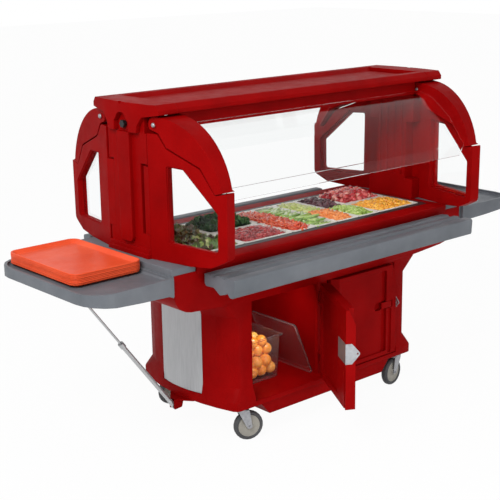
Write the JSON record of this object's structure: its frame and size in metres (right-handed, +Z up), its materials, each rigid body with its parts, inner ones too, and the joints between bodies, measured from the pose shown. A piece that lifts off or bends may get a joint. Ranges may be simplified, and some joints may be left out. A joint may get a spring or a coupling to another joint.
{
  "type": "mobile salad bar",
  "caption": "Wheeled cabinet with a chilled top well of food pans under a canopy with glazed guards, folding end shelves and tray rails, and a pair of storage doors.",
  "frame": {"origin": "centre of the footprint on the floor, under the casters", "axes": "+X along the bar's length towards its right end as seen from the front, +Y from the front (door side) to the rear, +Z up"},
  "size_m": [2.98, 1.4096, 1.722],
  "materials": {
    "red_plastic": "moulded polyethylene, satin",
    "grey_plastic": "moulded polyethylene, satin",
    "grey_sheet": "brushed",
    "steel": "dark pressed sheet",
    "zinc": "bright zinc",
    "tyre": "grey tread on a moulded hub",
    "strut": "satin",
    "black_plastic": "moulded",
    "pan_plastic": "moulded polycarbonate",
    "coral_plastic": "pressed fibreglass",
    "clear": "clear acrylic sheet"
  },
  "bodies": {
    "cart": {"cabinet_body": "red_plastic", "well_liner": "steel", "end_panel_left": "grey_sheet", "end_panel_right": "grey_sheet", "food_pan_1_front": "pan_plastic", "food_pan_1_rear": "pan_plastic", "food_pan_2_front": "pan_plastic", "food_pan_2_rear": "pan_plastic", "food_pan_5_front": "pan_plastic", "food_pan_5_rear": "pan_plastic", "food_pan_3_left": "pan_plastic", "food_pan_3_right": "pan_plastic", "food_pan_4_left": "pan_plastic", "food_pan_4_right": "pan_plastic", "shelf_root_left": "grey_plastic", "shelf_root_right": "grey_plastic", "canopy": "red_plastic", "canopy_cap_left": "red_plastic", "pillar_left": "red_plastic", "canopy_cap_right": "red_plastic", "pillar_right": "red_plastic", "wing_front_left": "red_plastic", "side_pane_front_left": "clear", "wing_front_right": "red_plastic", "side_pane_front_right": "clear", "wing_rear_left": "red_plastic", "side_pane_rear_left": "clear", "wing_rear_right": "red_plastic", "side_pane_rear_right": "clear", "fruit_bin": "clear", "fruit_bin_lid": "clear"},
    "door_left": {"door_left": "red_plastic"},
    "latch_left": {"door_latch_left": "red_plastic"},
    "door_right": {"door_right": "red_plastic"},
    "latch_right": {"door_latch_right": "red_plastic"},
    "fork_front_left": {"caster_fork_front_left": "zinc"},
    "wheel_front_left": {"caster_wheel_front_left": "tyre"},
    "fork_front_right": {"caster_fork_front_right": "zinc"},
    "wheel_front_right": {"caster_wheel_front_right": "tyre"},
    "fork_rear_left": {"caster_fork_rear_left": "zinc"},
    "wheel_rear_left": {"caster_wheel_rear_left": "tyre"},
    "fork_rear_right": {"caster_fork_rear_right": "zinc"},
    "wheel_rear_right": {"caster_wheel_rear_right": "tyre"},
    "rail_front": {"tray_rail_front": "grey_plastic"},
    "rail_rear": {"tray_rail_rear": "grey_plastic"},
    "shelf_left": {"end_shelf_left": "grey_plastic", "tray_stack": "coral_plastic"},
    "shelf_right": {"end_shelf_right": "grey_plastic"},
    "tube_left": {"brace_tube_left": "strut"},
    "rod_left": {"brace_rod_left": "strut"},
    "tube_right": {"brace_tube_right": "strut"},
    "rod_right": {"brace_rod_right": "strut"},
    "guard_front": {"guard_arm_front_left": "red_plastic", "guard_arm_front_right": "red_plastic", "guard_pane_front": "clear"},
    "guard_rear": {"guard_arm_rear_left": "red_plastic", "guard_arm_rear_right": "red_plastic", "guard_pane_rear": "clear"},
    "knob_left": {"canopy_knob_left": "black_plastic"},
    "knob_right": {"canopy_knob_right": "black_plastic"}
  },
  "joints": [
    {"name": "door_left_swing", "type": "hinge", "parent": "cart", "child": "door_left", "pos_m": [-0.02, -0.24414, 0.4665], "axis": [0, 0, 1], "range_deg": [-60, 15]},
    {"name": "door_right_swing", "type": "hinge", "parent": "cart", "child": "door_right", "pos_m": [0.02, -0.24414, 0.4665], "axis": [0, 0, -1], "range_deg": [0, 78]},
    {"name": "latch_left_turn", "type": "hinge", "parent": "door_left", "child": "latch_left", "pos_m": [-0.22792, -0.65526, 0.5], "axis": [0, 0, -1], "range_deg": [0, 35]},
    {"name": "latch_right_turn", "type": "hinge", "parent": "door_right", "child": "latch_right", "pos_m": [0.48, -0.26964, 0.5], "axis": [0, 0, 1], "range_deg": [0, 35]},
    {"name": "swivel_front_left", "type": "hinge", "parent": "cart", "child": "fork_front_left", "pos_m": [-0.572, -0.22614, 0.14], "axis": [0, 0, 1], "continuous": true},
    {"name": "swivel_front_right", "type": "hinge", "parent": "cart", "child": "fork_front_right", "pos_m": [0.572, -0.22614, 0.14], "axis": [0, 0, 1], "continuous": true},
    {"name": "swivel_rear_left", "type": "hinge", "parent": "cart", "child": "fork_rear_left", "pos_m": [-0.572, 0.40586, 0.14], "axis": [0, 0, 1], "continuous": true},
    {"name": "swivel_rear_right", "type": "hinge", "parent": "cart", "child": "fork_rear_right", "pos_m": [0.572, 0.40586, 0.14], "axis": [0, 0, 1], "continuous": true},
    {"name": "roll_front_left", "type": "hinge", "parent": "fork_front_left", "child": "wheel_front_left", "pos_m": [-0.54119, -0.23797, 0.076], "axis": [0.3584, 0.9336, 0], "continuous": true},
    {"name": "roll_front_right", "type": "hinge", "parent": "fork_front_right", "child": "wheel_front_right", "pos_m": [0.53932, -0.23073, 0.076], "axis": [0.1392, -0.9903, 0], "continuous": true},
    {"name": "roll_rear_left", "type": "hinge", "parent": "fork_rear_left", "child": "wheel_rear_left", "pos_m": [-0.539, 0.40586, 0.076], "axis": [0, 1, 0], "continuous": true},
    {"name": "roll_rear_right", "type": "hinge", "parent": "fork_rear_right", "child": "wheel_rear_right", "pos_m": [0.539, 0.40586, 0.076], "axis": [0, -1, 0], "continuous": true},
    {"name": "rail_front_fold", "type": "hinge", "parent": "cart", "child": "rail_front", "pos_m": [0, -0.35514, 0.915], "axis": [1, 0, 0], "range_deg": [0, 90]},
    {"name": "rail_rear_fold", "type": "hinge", "parent": "cart", "child": "rail_rear", "pos_m": [0, 0.53486, 0.915], "axis": [-1, 0, 0], "range_deg": [0, 90]},
    {"name": "shelf_left_fold", "type": "hinge", "parent": "cart", "child": "shelf_left", "pos_m": [-1.041, 0.08986, 0.874], "axis": [0, -1, 0], "range_deg": [0, 80]},
    {"name": "shelf_right_fold", "type": "hinge", "parent": "cart", "child": "shelf_right", "pos_m": [1.041, 0.08986, 0.874], "axis": [0, 1, 0], "range_deg": [0, 80]},
    {"name": "brace_left_swing", "type": "hinge", "parent": "cart", "child": "tube_left", "pos_m": [-0.757, 0.08986, 0.139], "axis": [0, -1, 0], "range_deg": [-1, 2]},
    {"name": "brace_left_slide", "type": "slide", "parent": "tube_left", "child": "rod_left", "axis": [-0.6002, 0, 0.7999], "range_m": [-0.36, 0]},
    {"name": "brace_right_swing", "type": "hinge", "parent": "cart", "child": "tube_right", "pos_m": [0.757, 0.24986, 0.139], "axis": [0, 1, 0], "range_deg": [-1, 2]},
    {"name": "brace_right_slide", "type": "slide", "parent": "tube_right", "child": "rod_right", "axis": [0.6002, 0, 0.7999], "range_m": [-0.36, 0]},
    {"name": "guard_front_lift", "type": "hinge", "parent": "cart", "child": "guard_front", "pos_m": [0, -0.12214, 1.63], "axis": [-1, 0, 0], "range_deg": [0, 14]},
    {"name": "guard_rear_lift", "type": "hinge", "parent": "cart", "child": "guard_rear", "pos_m": [0, 0.30186, 1.63], "axis": [1, 0, 0], "range_deg": [0, 14]},
    {"name": "knob_left_turn", "type": "hinge", "parent": "cart", "child": "knob_left", "pos_m": [-0.985, 0.08986, 1.617], "axis": [-1, 0, 0], "continuous": true},
    {"name": "knob_right_turn", "type": "hinge", "parent": "cart", "child": "knob_right", "pos_m": [0.985, 0.08986, 1.617], "axis": [1, 0, 0], "continuous": true}
  ],
  "couplings": [
    {"joint": "brace_left_swing", "follows": "shelf_left_fold", "ratio": 0.015},
    {"joint": "brace_left_slide", "follows": "shelf_left_fold", "m_per_rad": -0.256},
    {"joint": "brace_right_swing", "follows": "shelf_right_fold", "ratio": 0.015},
    {"joint": "brace_right_slide", "follows": "shelf_right_fold", "m_per_rad": -0.256}
  ]
}
